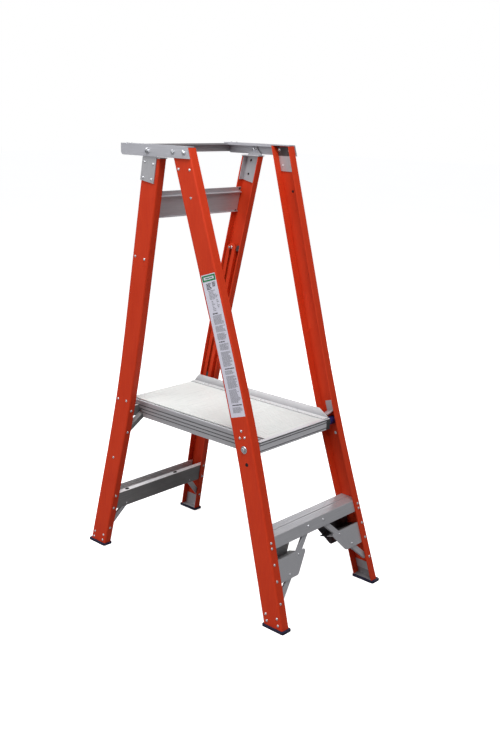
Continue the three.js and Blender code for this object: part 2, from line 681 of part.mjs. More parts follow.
// A side beam: a deep grooved web with a bead along its top, a bottom flange, a ledge under the planks, and
// the sleeve of the hinge.
function sideBeam(side) {
  const outer = DECK_HALF_WIDTH;
  const inner = outer - BEAM_SHEET;
  const bottom = PLATFORM_HEIGHT - BEAM_HEIGHT;
  const bead = PLATFORM_HEIGHT - 4;
  const ledge = DECK_UNDER - GAP;
  const grooves = faceGrooves([[50, 46.5], [38, 34.5], [25, 21]], outer, outer - 2.2);
  const section = outline([
    [inner - 20, bottom], [outer, bottom], ...grooves, [outer, bead - 4], [outer - 1.2, bead - 1.2],
    [outer - 3, bead], [inner, bead], [inner, ledge], [inner - 16, ledge], [inner - 16, ledge - SHEET],
    [inner, ledge - SHEET], [inner, bottom + SHEET], [inner - 20, bottom + SHEET],
  ]);
  const { y, z, radius } = PLATFORM_HINGE;
  const beam = joined(
    alongY(section, PLANK_START, DECK_REAR), rod(12, outer - 2, hingeWeb - 33, y, z),
  );
  // The notch over the crossbar, with a slanted front so that the crossbar swings clear as the ladder folds.
  const notch = acrossX(outline([
    [BEAM_REAR - 30, bottom - 3], [DECK_REAR + 5, bottom - 3], [DECK_REAR + 5, DECK_UNDER],
    [BEAM_REAR, DECK_UNDER], [BEAM_REAR, DECK_UNDER - 2],
  ]), inner - 30, outer + 5);
  const frontCorner = acrossX(outline([
    [PLANK_START - 1, bottom - 1], [PLANK_START + 80, bottom - 1], [PLANK_START - 1, bottom + 27],
  ]), inner - 30, outer + 5);
  const bore = rod(radius + RUNNING_GAP, inner - 40, hingeWeb, y, z);
  const rodHole = rod(REAR_ROD.radius + GAP, inner - 5, outer + 5, REAR_ROD.y, REAR_ROD.z);
  return cut(beam, notch, frontCorner, bore, rodHole, nutPocket(1)).scale(side, 1, 1);
}

// The kickboard: an angle on the right-hand edge, with its upright leg cut off at a slant at both ends.
function kickboard() {
  const outer = DECK_HALF_WIDTH + 1.5;
  const base = PLATFORM_HEIGHT + GAP;
  const top = PLATFORM_HEIGHT + KICKBOARD_HEIGHT;
  const front = DECK_FRONT + 4;
  const wall = outline([
    [front, base], [DECK_REAR - 2, base], [DECK_REAR - 2, base + 4], [DECK_REAR - 24, top], [front + 40, top],
    [front, base + 4],
  ]);
  const foot = box([outer - 24, front, base], [outer - 1, DECK_REAR - 2, base + SHEET]);
  return joined(acrossX(wall, outer - SHEET, outer), foot);
}

// ---------------------------------------------------------------- assembly
const ladder = new THREE.Group();
const frontFrame = new THREE.Group();
const frontPlane = stilePlane(FRONT);
const rearFrame = new THREE.Group();
const rearPlane = stilePlane(REAR);
const platform = new THREE.Group();
ladder.add(frontFrame, frontPlane, rearFrame, rearPlane, platform);

for (const [name, side] of SIDES) {
  frontFrame.add(
    mesh(`front_stile_${name}`, frontStile(side), fibreglass),
    mesh(`front_foot_pad_${name}`, footPad(FRONT, side), rubber),
    mesh(`front_foot_bracket_${name}`, footBracket(FRONT, side), aluminium),
    mesh(`front_top_plate_${name}`, frontTopPlate(side), aluminium),
    mesh(`platform_stop_bracket_${name}`, stopBracket(side), aluminium),
    mesh(`top_side_rail_${name}`, sideRail(side), aluminium),
  );

  const topNose = RAIL_OUTER + GAP;
  frontFrame.add(bolt(`top_hinge_bolt_${name}`, side, topNose, TOP_HINGE.y, TOP_HINGE.z,
    boltProfile(TOP_HINGE.radius, topNose - 255.8, 10, 6, 10, 8)));
  for (const [place, y] of RAIL_BOLTS) {
    frontFrame.add(bolt(`rail_bolt_${place}_${name}`, side, topNose, y, RAIL_BOLT.z,
      boltProfile(RAIL_BOLT.radius, topNose - 252, 8, 5, 5.3, 4)));
  }

  const { y: hingeY, z: hingeZ } = PLATFORM_HINGE;
  frontFrame.add(
    bolt(`platform_hinge_bolt_${name}`, side, hingeWeb + HEAD_CLEAR, hingeY, hingeZ, platformBolt()));
  const spacerFrom = hingeWeb - 32.5;
  const spacerTo = hingeWeb - WALL - 2 * GAP;
  const spacer = turned([
    [0, PLATFORM_HINGE.radius + GAP], [0, 15.5], [spacerTo - spacerFrom, 15.5],
    [spacerTo - spacerFrom, PLATFORM_HINGE.radius + GAP], [0, PLATFORM_HINGE.radius + GAP],
  ]);
  const spacerMesh = mesh(`platform_hinge_spacer_${name}`, spacer, nylon);
  spacerMesh.position.set(side > 0 ? spacerFrom : -spacerTo, PLATFORM_HINGE.y, PLATFORM_HINGE.z);
  frontFrame.add(spacerMesh);

  frontPlane.add(
    mesh(`step_gusset_${name}`, stepGusset(side), aluminium),
    braceBar(`step_brace_${name}`, side, STEP_BRACE),
  );

  rearFrame.add(
    mesh(`rear_stile_${name}`, stileBody(REAR, side, []), fibreglass),
    mesh(`rear_foot_pad_${name}`, footPad(REAR, side), rubber),
    mesh(`rear_foot_bracket_${name}`, footBracket(REAR, side), aluminium),
    mesh(`rear_top_bracket_${name}`, rearTopBracket(side), aluminium),
    mesh(`rear_top_cap_${name}`, rearTopCap(side), aluminium),
    mesh(`guide_channel_${name}`, guideChannel(side), fibreglass),
    mesh(`guide_shoe_${name}`, guideShoe(side), nylon),
    mesh(`guide_stop_${name}`, guideStop(side), steel),
  );
  rearPlane.add(
    braceBar(`lower_brace_${name}`, side, LOWER_BRACE),
    braceBar(`middle_brace_${name}`, side, MIDDLE_BRACE),
  );
  platform.add(mesh(`platform_side_beam_${name}`, sideBeam(side), aluminium));
}

frontFrame.add(
  mesh('step', acrossX(stepSection(), -STEP_HALF_LENGTH, STEP_HALF_LENGTH), aluminium),
  mesh('top_rear_rail', rearRail(), aluminium),
);

rearPlane.add(
  mesh('upper_crossbar', upperCrossbar(), aluminium),
  mesh('middle_crossbar', middleCrossbar(), aluminium),
  mesh('lower_crossbar', lowerCrossbar(), aluminium),
);

for (let i = 0; i < PLANK_COUNT; i += 1) {
  const plank = mesh(`deck_plank_${i + 1}`, deckPlank(i + 1), brightDeck);
  plank.position.y = PLANK_START + i * PLANK_DEPTH;
  platform.add(plank);
}
platform.add(
  mesh('platform_nose', platformNose(), aluminium),
  mesh('kickboard', kickboard(), aluminium),
  mesh('platform_rear_rod',
    rod(REAR_ROD.radius, -REAR_ROD.halfLength, REAR_ROD.halfLength, REAR_ROD.y, REAR_ROD.z, 16), steel),
);

export default ladder;
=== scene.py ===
"""Looks of the folding platform step ladder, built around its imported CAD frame.

Metres, +Z up, and the climber faces +Y. Every place comes from the CAD nodes: a point on a stile is given by
its height and by how far behind the stile's front edge it is, and is then found on the stile's own surface.
"""
import json
import math
import random

import bmesh
import bpy
from mathutils import Matrix, Vector
from mathutils.bvhtree import BVHTree


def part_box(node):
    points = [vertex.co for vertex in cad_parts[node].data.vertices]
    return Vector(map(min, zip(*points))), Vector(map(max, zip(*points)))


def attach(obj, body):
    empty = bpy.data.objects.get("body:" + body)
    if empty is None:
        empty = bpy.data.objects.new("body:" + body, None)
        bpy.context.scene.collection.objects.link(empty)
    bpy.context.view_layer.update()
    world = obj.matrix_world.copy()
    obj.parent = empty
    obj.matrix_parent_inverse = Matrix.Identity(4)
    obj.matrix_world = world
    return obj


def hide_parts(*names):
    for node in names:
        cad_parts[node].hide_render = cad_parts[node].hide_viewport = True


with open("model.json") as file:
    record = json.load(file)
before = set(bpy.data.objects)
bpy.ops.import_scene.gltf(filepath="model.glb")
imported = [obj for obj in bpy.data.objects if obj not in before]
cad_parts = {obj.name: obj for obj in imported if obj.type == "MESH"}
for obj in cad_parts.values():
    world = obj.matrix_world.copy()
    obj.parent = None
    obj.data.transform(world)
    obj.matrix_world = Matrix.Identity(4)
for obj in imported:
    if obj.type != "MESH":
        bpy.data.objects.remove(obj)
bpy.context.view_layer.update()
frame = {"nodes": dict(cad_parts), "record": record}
nodes = frame["nodes"]

MM = 0.001
RANDOM = random.Random(7)
SIDES = (("left", -1), ("right", 1))
DOWN = (0, 0, -1)
BACK = (0, 1, 0)
SLOTS = {part["node"]: part["material_slot"] for part in frame["record"]["subparts"]}


# ---------------------------------------------------------------- places on the CAD frame
trees = {}


def surface(node, start, direction):
    """The first point of a CAD node that a ray meets, and the direction the surface faces there."""
    if node not in trees:
        data = nodes[node].data
        trees[node] = BVHTree.FromPolygons([v.co for v in data.vertices], [p.vertices for p in data.polygons])
    direction = Vector(direction)
    place, normal, _, _ = trees[node].ray_cast(Vector(start), direction)
    if place is None:
        raise ValueError(f"nothing of {node} lies from {tuple(start)} along {tuple(direction)}")
    return place, (normal if normal.dot(direction) < 0 else -normal)


MID_WEB = 40 * MM # halfway across a stile's web


class Stile:
    """Places on one stile. `end` is front or rear, and `side` is -1 on the left."""

    def __init__(self, end, name, side):
        self.node = f"{end}_stile_{name}"
        self.side = side
        low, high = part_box(self.node)
        corners = [v.co for v in nodes[self.node].data.vertices]
        self.foot = low.z
        self.top = high.z
        self.foot_edge = min(c.y for c in corners if c.z < low.z + MM)
        self.top_edge = min(c.y for c in corners if c.z > high.z - MM)
        self.outside = side * 2 * max(abs(low.x), abs(high.x))

    def edge(self, z):
        """Where the stile's front edge is, at height z."""
        share = (z - self.foot) / (self.top - self.foot)
        return self.foot_edge + share * (self.top_edge - self.foot_edge)

    def web(self, z, depth, node=None):
        """On the outer face, or on a plate that lies on it."""
        start = (self.outside, self.edge(z) + depth, z)
        return surface(node or self.node, start, (-self.side, 0, 0))

    def flange(self, z, inset):
        """On the front flange, at a distance in from the outer face."""
        outer = self.web(z, MID_WEB)[0].x
        return surface(self.node, (outer - self.side * inset, self.edge(z) - 0.5, z), BACK)


def in_front(node, x, z):
    """The face of a node that looks at the climber."""
    low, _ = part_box(node)
    return surface(node, (x, low.y - 0.2, z), BACK)


def onto(node, x, y, z, direction):
    """The first place on a node from (x, y, z), in millimetres."""
    return surface(node, (x * MM, y * MM, z * MM), direction)


STILES = {(end, name): Stile(end, name, side) for end in ("front", "rear") for name, side in SIDES}


# ---------------------------------------------------------------- procedural materials
BAND_EDGE = 0.5 * MM # half the width over which a band fades
MIX_COLOUR_INPUTS = (6, 7) # the Mix node has a pair of inputs for each kind of data
MIX_COLOUR_OUTPUT = 2


class Look:
    """A procedural material under construction, with short ways to add the nodes that the looks share."""

    def __init__(self, name, **surface_values):
        self.material = bpy.data.materials.new(name)
        self.material.use_nodes = True
        self.tree = self.material.node_tree
        self.shader = self.tree.nodes["Principled BSDF"]
        for socket, value in surface_values.items():
            self.shader.inputs[socket.replace("_", " ")].default_value = value
        coordinates = self.node("TexCoord")
        self.place = coordinates.outputs["Object"]
        self.facing = coordinates.outputs["Normal"]
        self.height = None

    def node(self, kind, **settings):
        made = self.tree.nodes.new("ShaderNode" + kind)
        for key, value in settings.items():
            setattr(made, key, value)
        return made

    def join(self, output, node, socket):
        self.tree.links.new(output, node.inputs[socket])

    def noise(self, scale, stretch=(1, 1, 1), detail=3, roughness=0.5):
        """Noise of so many cells to a metre, along each axis multiplied by stretch."""
        mapping = self.node("Mapping")
        mapping.inputs["Scale"].default_value = stretch
        self.join(self.place, mapping, "Vector")
        noise = self.node("TexNoise")
        noise.inputs["Scale"].default_value = scale
        noise.inputs["Detail"].default_value = detail
        noise.inputs["Roughness"].default_value = roughness
        self.join(mapping.outputs["Vector"], noise, "Vector")
        return noise.outputs["Fac"]

    def spread(self, value, low, high, to_low=0.0, to_high=1.0):
        """The value's stretch from low to high, as to_low to to_high."""
        reach = self.node("MapRange")
        for socket, number in zip(("From Min", "From Max", "To Min", "To Max"), (low, high, to_low, to_high)):
            reach.inputs[socket].default_value = number
        self.join(value, reach, "Value")
        return reach.outputs["Result"]

    def axis(self, vector, name):
        """One coordinate of a vector."""
        split = self.node("SeparateXYZ")
        self.join(vector, split, "Vector")
        return split.outputs[name]

    def combine(self, operation, first, second):
        """Two values put together by a Math node."""
        result = self.node("Math", operation=operation)
        self.join(first, result, 0)
        self.join(second, result, 1)
        return result.outputs[0]

    def bands(self, axis, spans):
        """1 where the object-space coordinate is inside one of the spans, and 0 elsewhere."""
        value = self.axis(self.place, axis)
        total = None
        for low, high in spans:
            above = self.spread(value, low - BAND_EDGE, low + BAND_EDGE)
            below = self.spread(value, high - BAND_EDGE, high + BAND_EDGE, 1, 0)
            inside = self.combine("MULTIPLY", above, below)
            total = self.combine("MAXIMUM", total, inside) if total else inside
        return total

    def mix(self, share, first, second):
        """Two colours, each a socket or an RGB, mixed by a share that comes from a socket."""
        mix = self.node("Mix", data_type="RGBA")
        self.join(share, mix, 0)
        for index, value in zip(MIX_COLOUR_INPUTS, (first, second)):
            if hasattr(value, "is_linked"):
                self.join(value, mix, index)
            else:
                mix.inputs[index].default_value = (*value, 1)
        return mix.outputs[MIX_COLOUR_OUTPUT]

    def bump(self, height, depth, strength):
        """Adds relief of that depth in metres to the relief already there."""
        bump = self.node("Bump")
        bump.inputs["Distance"].default_value = depth
        bump.inputs["Strength"].default_value = strength
        self.join(height, bump, "Height")
        if self.height:
            self.join(self.height, bump, "Normal")
        self.height = bump.outputs["Normal"]
        self.join(self.height, self.shader, "Normal")

    def colour(self, output):
        self.join(output, self.shader, "Base Color")

    def roughness(self, output):
        self.join(output, self.shader, "Roughness")


def stretch_along(axis, factor):
    """A stretch that draws noise out along one axis."""
    return tuple(factor if name == axis else 1.0 for name in "xyz")


def fibreglass():
    """Pultruded fibreglass: glass strands run up the stile under a thin, slightly mottled resin skin."""
    look = Look("fibreglass", Specular_IOR_Level=0.18)
    strands = look.noise(330, stretch_along("z", 0.035), detail=4)
    patches = look.noise(16, stretch_along("z", 0.4), detail=3)
    veil = look.noise(620, detail=2)
    base = look.mix(look.spread(strands, 0.25, 0.75), (0.53, 0.030, 0.0070), (0.61, 0.045, 0.0098))
    base = look.mix(look.spread(patches, 0.35, 0.7, 0, 0.35), base, (0.68, 0.056, 0.014))
    base = look.mix(look.spread(veil, 0.52, 0.75, 0, 0.40), base, (0.42, 0.020, 0.008))
    look.colour(base)
    look.roughness(look.spread(patches, 0.3, 0.7, 0.50, 0.64))
    look.bump(strands, 0.12 * MM, 0.2)
    look.bump(veil, 0.15 * MM, 0.3)
    return look.material


def aluminium(name, axis, tone, warmth, metal=0.6, painted_shade=None):
    """Mill-finish aluminium: die lines run along the piece, with cloudy handling marks over them.

    Its last argument, if given, names an axis, the spans along it in metres where shade is painted on, and
    the colour of that painted shade.
    """
    look = Look(name, Metallic=metal)
    lines = look.noise(900, stretch_along(axis, 0.012), detail=4, roughness=0.6)
    clouds = look.noise(22, stretch_along(axis, 0.35), detail=4)
    scuffs = look.noise(260, stretch_along(axis, 0.25), detail=5, roughness=0.7)
    light = tuple(min(1.0, tone * 1.08 * w) for w in warmth)
    dark = tuple(tone * 0.84 * w for w in warmth)
    base = look.mix(look.spread(lines, 0.3, 0.7), dark, light)
    base = look.mix(look.spread(clouds, 0.35, 0.72, 0, 0.35), base, tuple(tone * 0.72 * w for w in warmth))
    base = look.mix(look.spread(scuffs, 0.66, 0.8, 0, 0.4), base, light)
    # painted shade: darker bands, a little uneven, where shade falls on the piece
    if painted_shade:
        shade_axis, spans, shade_colour = painted_shade
        uneven = look.spread(clouds, 0.2, 0.6, 0.7, 1.0)
        shaded = look.combine("MULTIPLY", look.bands(shade_axis, spans), uneven)
        base = look.mix(shaded, base, shade_colour)
    look.colour(base)
    look.roughness(look.spread(clouds, 0.3, 0.7, 0.38, 0.55))
    look.bump(lines, 0.12 * MM, 0.35)
    look.bump(scuffs, 0.06 * MM, 0.25)
    return look.material


# ends of fades, in metres of the frame's own Y or Z, except for UPWARD
UPWARD = (0.7, 0.9) # the Z of a normal: from a wall to a face that looks up, which gets painted light
CROSSBAR_INSIDE = (0.418, 0.424) # Y between the lower crossbar's front wall and its rear one, from painted shade to painted light
KICKBOARD_WALL = (0.604, 0.626) # Z from the foot of the kickboard's wall, dark with painted shade, to where it is at its palest
DECK_FRONT_SHADE = (0.12, -0.25) # Y from the rear of the deck to its front, where painted shade darkens it


def crossbar_aluminium():
    """Aluminium with painted light and shade: painted shade on the upright walls, a paler inside painted as
    if lit, and a painted bright top on what faces up.
    """
    look = Look("aluminium_painted_light_and_shade", Metallic=0.2)
    lines = look.noise(900, stretch_along("x", 0.012), detail=4, roughness=0.6)
    clouds = look.noise(30, stretch_along("x", 0.5), detail=4)
    up = look.spread(look.axis(look.facing, "Z"), *UPWARD)
    # painted shade: the upright walls are dark
    wall = look.mix(look.spread(lines, 0.3, 0.7), (0.17, 0.165, 0.165), (0.25, 0.245, 0.245))
    wall = look.mix(look.spread(clouds, 0.4, 0.7, 0, 0.4), wall, (0.15, 0.145, 0.145))
    # painted light: the inside of the rear wall is pale
    inside = look.mix(look.spread(lines, 0.3, 0.7), (0.70, 0.70, 0.70), (0.80, 0.80, 0.81))
    wall = look.mix(look.spread(look.axis(look.place, "Y"), *CROSSBAR_INSIDE), wall, inside)
    # painted highlight: the faces that look up are bright
    top = look.mix(look.spread(clouds, 0.3, 0.7), (0.95, 0.95, 0.95), (0.84, 0.84, 0.85))
    look.colour(look.mix(up, wall, top))
    look.roughness(look.spread(clouds, 0.3, 0.7, 0.48, 0.62))
    look.bump(lines, 0.12 * MM, 0.35)
    return look.material


def kickboard_aluminium():
    """Satin aluminium with painted light and shade: a painted pale top on the foot that lies on the deck, and
    painted shade that darkens the wall towards its foot.
    """
    look = Look("aluminium_kickboard", Metallic=0.35)
    lines = look.noise(900, stretch_along("y", 0.012), detail=4, roughness=0.6)
    clouds = look.noise(22, stretch_along("y", 0.35), detail=4)
    # painted light and shade: the foot that faces up is pale, and the wall darkens towards its foot
    up = look.spread(look.axis(look.facing, "Z"), *UPWARD)
    height = look.spread(look.axis(look.place, "Z"), *KICKBOARD_WALL)
    wall = look.mix(height, (0.36, 0.36, 0.375), (0.74, 0.74, 0.76))
    base = look.mix(up, wall, (0.86, 0.865, 0.86))
    base = look.mix(look.spread(lines, 0.3, 0.7, 0, 0.35), base, (0.50, 0.50, 0.52))
    look.colour(look.mix(look.spread(clouds, 0.4, 0.72, 0, 0.3), base, (0.50, 0.50, 0.52)))
    look.roughness(look.spread(clouds, 0.3, 0.7, 0.36, 0.5))
    look.bump(lines, 0.12 * MM, 0.35)
    return look.material


def deck_aluminium():
    """Satin aluminium of the boards: nearly white, with fine streaks, soft lilac clouds of painted shade and
    reflection, and painted shade towards the front.
    """
    look = Look("deck", Metallic=0.2, Specular_IOR_Level=0.4)
    lines = look.noise(700, stretch_along("x", 0.012), detail=4, roughness=0.6)
    streaks = look.noise(150, stretch_along("x", 0.06), detail=4, roughness=0.6)
    clouds = look.noise(3.2, stretch_along("y", 0.6), detail=1)
    scuffs = look.noise(150, stretch_along("x", 0.3), detail=5, roughness=0.7)
    base = look.mix(look.spread(lines, 0.3, 0.7, 0, 0.5), (0.95, 0.985, 0.96), (0.86, 0.89, 0.87))
    base = look.mix(look.spread(streaks, 0.54, 0.7, 0, 0.4), base, (0.68, 0.70, 0.69))
    # painted lilac shade and reflection, in soft clouds
    base = look.mix(look.spread(clouds, 0.56, 0.68, 0, 0.5), base, (0.76, 0.75, 0.86))
    base = look.mix(look.spread(scuffs, 0.62, 0.8, 0, 0.25), base, (0.70, 0.72, 0.72))
    # painted shade, darker towards the front of the deck
    wear_and_shade = look.spread(look.axis(look.place, "Y"), *DECK_FRONT_SHADE, 0, 0.7)
    base = look.mix(wear_and_shade, base, (0.62, 0.635, 0.625))
    look.colour(base)
    look.roughness(look.spread(scuffs, 0.3, 0.7, 0.42, 0.56))
    look.bump(lines, 0.1 * MM, 0.3)
    return look.material


def plated(name, bright, dull, metal):
    """Bright plating with a faint blotchy bloom."""
    look = Look(name, Metallic=metal)
    bloom = look.noise(420, detail=3)
    look.colour(look.mix(look.spread(bloom, 0.35, 0.7), bright, dull))
    look.roughness(look.spread(bloom, 0.3, 0.7, 0.22, 0.36))
    look.bump(bloom, 0.05 * MM, 0.3)
    return look.material


def moulded(name, colour, wear_and_shade, roughness, grain):
    """Moulded rubber or nylon, or dark paint: a fine grain, and scuffs of a paler shade."""
    look = Look(name, Specular_IOR_Level=0.4)
    fine = look.noise(grain, detail=3)
    scuffs = look.noise(90, detail=5, roughness=0.7)
    look.colour(look.mix(look.spread(scuffs, 0.52, 0.72, 0, 0.7), colour, wear_and_shade))
    look.roughness(look.spread(fine, 0.3, 0.7, roughness - 0.08, roughness + 0.08))
    look.bump(fine, 0.2 * MM, 0.4)
    return look.material


def printed(name, colour, faded):
    """Ink or vinyl film, a little uneven."""
    look = Look(name, Specular_IOR_Level=0.5)
    uneven = look.noise(240, detail=4)
    look.colour(look.mix(look.spread(uneven, 0.35, 0.7), colour, faded))
    look.roughness(look.spread(uneven, 0.3, 0.7, 0.36, 0.50))
    return look.material


COOL = (0.985, 0.985, 1.03) # the bluish tint of most of the aluminium
# painted shade that darkens the grooves of the side beam and the nose
GROOVE_SHADE = (0.15, 0.15, 0.155)
SHADE = (0.018, 0.014, 0.015)
# spans of painted shade, in metres of the frame's own Y or Z
BEAM_GROOVES = ((0.550, 0.5535), (0.562, 0.5655), (0.575, 0.579))
NOSE_GROOVES = ((0.566, 0.5695), (0.5855, 0.589), (0.5935, 0.598))
GUSSET_REAR = ((-0.400, -0.340),)
UNDER_RAIL = ((1.490, 1.530),)
BRACKET_FOOT = ((0.0, 0.030),)
LOOKS = {
    "fibreglass": fibreglass(),
    "aluminium_x": aluminium("aluminium_x", "x", 0.58, COOL),
    "aluminium_z": aluminium("aluminium_z", "z", 0.58, COOL),
    # the side beam and the nose get painted shade in their grooves
    "aluminium_beam": aluminium("aluminium_beam", "y", 0.54, COOL, painted_shade=("Z", BEAM_GROOVES, GROOVE_SHADE)),
    "aluminium_nose": aluminium(
        "aluminium_nose", "x", 0.80, COOL, metal=0.4, painted_shade=("Z", NOSE_GROOVES, GROOVE_SHADE)),
    "aluminium_kickboard": kickboard_aluminium(),
    "rail_side": aluminium("rail_side", "y", 0.58, (0.97, 0.975, 1.05)),
    # a darker copy of the aluminium: painted shade over the whole rear rail
    "rail_rear": aluminium("rail_rear", "x", 0.46, COOL),
    # painted shade on the gussets' rear plates: grey on the left, nearly black on the right
    "gusset_left": aluminium("gusset_left", "z", 0.58, COOL, painted_shade=("Y", GUSSET_REAR, (0.34, 0.33, 0.33))),
    "gusset_right": aluminium("gusset_right", "z", 0.58, COOL, painted_shade=("Y", GUSSET_REAR, SHADE)),
    # painted shadow across the top plate, in the band under the rail
    "top_plate": aluminium("top_plate", "z", 0.58, COOL, painted_shade=("Z", UNDER_RAIL, (0.07, 0.065, 0.065))),
    # painted shade in a band at the foot of the bracket
    "foot_bracket": aluminium("foot_bracket", "z", 0.50, COOL, painted_shade=("Z", BRACKET_FOOT, (0.27, 0.26, 0.27))),
    "aluminium_painted_light_and_shade": crossbar_aluminium(),
    "deck": deck_aluminium(),
    "steel": plated("zinc_steel", (0.72, 0.73, 0.76), (0.54, 0.55, 0.59), 1.0),
    "rivet": plated("rivet_aluminium", (0.72, 0.73, 0.75), (0.56, 0.57, 0.60), 0.8),
    "stop_steel": moulded("stop_steel", (0.060, 0.034, 0.034), (0.11, 0.07, 0.07), 0.5, 500),
    "black": moulded("black_rubber", (0.004, 0.004, 0.005), (0.010, 0.010, 0.012), 0.8, 700),
    "graphite": moulded("graphite_nylon", (0.045, 0.045, 0.048), (0.08, 0.08, 0.084), 0.6, 800),
    "rubber": moulded("foot_rubber", (0.008, 0.008, 0.032), (0.030, 0.030, 0.055), 0.72, 700),
    "nylon": moulded("navy_nylon", (0.018, 0.02, 0.13), (0.04, 0.045, 0.2), 0.45, 900),
    "film": printed("label_film", (0.70, 0.69, 0.78), (0.64, 0.63, 0.73)),
    "green": printed("label_green", (0.01, 0.18, 0.06), (0.02, 0.24, 0.09)),
    "ink": printed("label_ink", (0.06, 0.06, 0.07), (0.12, 0.12, 0.14)),
    "pale_ink": printed("label_pale_ink", (0.26, 0.26, 0.29), (0.34, 0.34, 0.38)),
}


# ---------------------------------------------------------------- finish on the CAD pieces
def edges_group():
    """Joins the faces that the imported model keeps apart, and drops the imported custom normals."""
    group = bpy.data.node_groups.new("join_and_smooth", "GeometryNodeTree")
    group.interface.new_socket("Geometry", in_out="INPUT", socket_type="NodeSocketGeometry")
    group.interface.new_socket("Geometry", in_out="OUTPUT", socket_type="NodeSocketGeometry")
    start = group.nodes.new("NodeGroupInput")
    end = group.nodes.new("NodeGroupOutput")
    forget = group.nodes.new("GeometryNodeRemoveAttribute")
    forget.inputs["Name"].default_value = "custom_normal"
    merge = group.nodes.new("GeometryNodeMergeByDistance")
    merge.inputs["Distance"].default_value = 0.01 * MM
    for first, second in ((start, forget), (forget, merge), (merge, end)):
        group.links.new(first.outputs["Geometry"], second.inputs["Geometry"])
    return group


EDGES = edges_group()
BEVEL = 0.5 * MM
SLIDING = ("guide_channel", "guide_shoe") # kept sharp, because with a bevel they cross at full fold


def finish_cad(node, look):
    """A CAD node keeps its mesh. It gets a procedural finish and, unless it slides, broken edges."""
    piece = nodes[node]
    piece.data.materials.clear()
    piece.data.materials.append(LOOKS[look])
    join = piece.modifiers.new("join", "NODES")
    join.node_group = EDGES
    flatten = piece.modifiers.new("flatten", "DECIMATE")
    flatten.decimate_type = "DISSOLVE"
    flatten.angle_limit = math.radians(0.1)
    if node.startswith(SLIDING):
        return
    soften = piece.modifiers.new("soften", "BEVEL")
    soften.width = BEVEL
    soften.segments = 2
    soften.limit_method = "ANGLE"
    soften.angle_limit = math.radians(40)


# by a node's name, or by its name without its side
OWN_LOOK = {
    "step": "aluminium_x", "upper_crossbar": "aluminium_x",
    "middle_crossbar": "aluminium_painted_light_and_shade", "lower_crossbar": "aluminium_painted_light_and_shade",
    "middle_brace": "aluminium_painted_light_and_shade",
    "platform_side_beam": "aluminium_beam", "platform_nose": "aluminium_nose",
    "kickboard": "aluminium_kickboard",
    "step_gusset_left": "gusset_left", "step_gusset_right": "gusset_right",
    "front_top_plate": "top_plate", "front_foot_bracket": "foot_bracket",
    "top_side_rail": "rail_side", "top_rear_rail": "rail_rear",
    "guide_stop": "stop_steel", "guide_shoe": "graphite",
}
SLOT_LOOK = {
    "aluminium": "aluminium_z", "stile_fibreglass": "fibreglass", "deck_aluminium": "deck",
    "fastener_steel": "steel", "foot_rubber": "rubber", "nylon": "nylon",
}


def cad_look(node):
    """A node's own look, or its pair's, or else its slot's."""
    pair = node.removesuffix("_left").removesuffix("_right")
    return OWN_LOOK.get(node) or OWN_LOOK.get(pair) or SLOT_LOOK[SLOTS[node]]


for cad_node in nodes:
    finish_cad(cad_node, cad_look(cad_node))


# ---------------------------------------------------------------- pieces made here
def as_piece(name, mesh, look, body, smooth=True):
    """Turns a bmesh into a named piece that rides on a CAD body."""
    data = bpy.data.meshes.new(name)
    bmesh.ops.recalc_face_normals(mesh, faces=mesh.faces)
    mesh.to_mesh(data)
    mesh.free()
    data.materials.append(LOOKS[look])
    if smooth:
        data.shade_smooth()
        data.set_sharp_from_angle(angle=math.radians(38))
    piece = bpy.data.objects.new(name, data)
    bpy.context.scene.collection.objects.link(piece)
    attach(piece, body)
    return piece


def lathe(mesh, profile, place, normal, sides=24, turn=0.0):
    """Turns a profile of (radius, height) points about a normal that stands at a place."""
    turned = Vector(normal).to_track_quat("Z", "Y").to_matrix().to_4x4()
    stand = Matrix.Translation(place) @ turned @ Matrix.Rotation(turn, 4, "Z")
    rings = []
    for radius, height in profile:
        if radius == 0:
            rings.append([mesh.verts.new(stand @ Vector((0, 0, height)))])
            continue
        angles = [2 * math.pi * i / sides for i in range(sides)]
        circle = [(radius * math.cos(a), radius * math.sin(a), height) for a in angles]
        rings.append([mesh.verts.new(stand @ Vector(point)) for point in circle])
    for lower, upper in zip(rings, rings[1:]):
        if len(lower) == 1 and len(upper) == 1:
            continue
        for i in range(sides):
            j = (i + 1) % sides
            corners = [ring[k % len(ring)] for ring, k in ((lower, i), (lower, j), (upper, j), (upper, i))]
            mesh.faces.new(list(dict.fromkeys(corners)))
    return mesh


def rivet_profile(radius):
    """A domed rivet head on a thin flange, with the small dimple of its stem."""
    height = radius * 0.52
    return [
        (0, -0.3 * MM), (radius, -0.3 * MM), (radius, 0.12 * height), (radius * 0.93, 0.32 * height),
        (radius * 0.8, 0.58 * height), (radius * 0.6, 0.8 * height), (radius * 0.36, 0.95 * height),
        (radius * 0.2, height), (radius * 0.14, 0.86 * height), (0, 0.84 * height),
    ]


def rivets(name, places, body, radius=4.8 * MM, look="rivet"):
    mesh = bmesh.new()
    for place, normal in places:
        lathe(mesh, rivet_profile(radius), place, normal)
    return as_piece(name, mesh, look, body)


def hex_head(mesh, place, normal, flange, across, height, turn):
    """A hexagon head on a round flange, with a chamfered top."""
    base = 1.8 * MM
    lathe(mesh, [
        (0, 0), (flange, 0), (flange, base * 0.45), (flange * 0.86, base), (across * 0.55, base * 1.25),
    ], place, normal, sides=32)
    corner = across / math.sqrt(3)
    lathe(mesh, [
        (corner, base * 0.6), (corner, height - 1.1 * MM), (corner * 0.9, height - 0.25 * MM),
        (corner * 0.74, height), (0, height - 0.2 * MM),
    ], place, normal, sides=6, turn=turn)


def shank(mesh, place, normal, radius, length):
    lathe(mesh, [(0, -length), (radius * 0.8, -length), (radius, -length + 0.8 * MM), (radius, 0.1 * MM)],
          place, normal, sides=24)


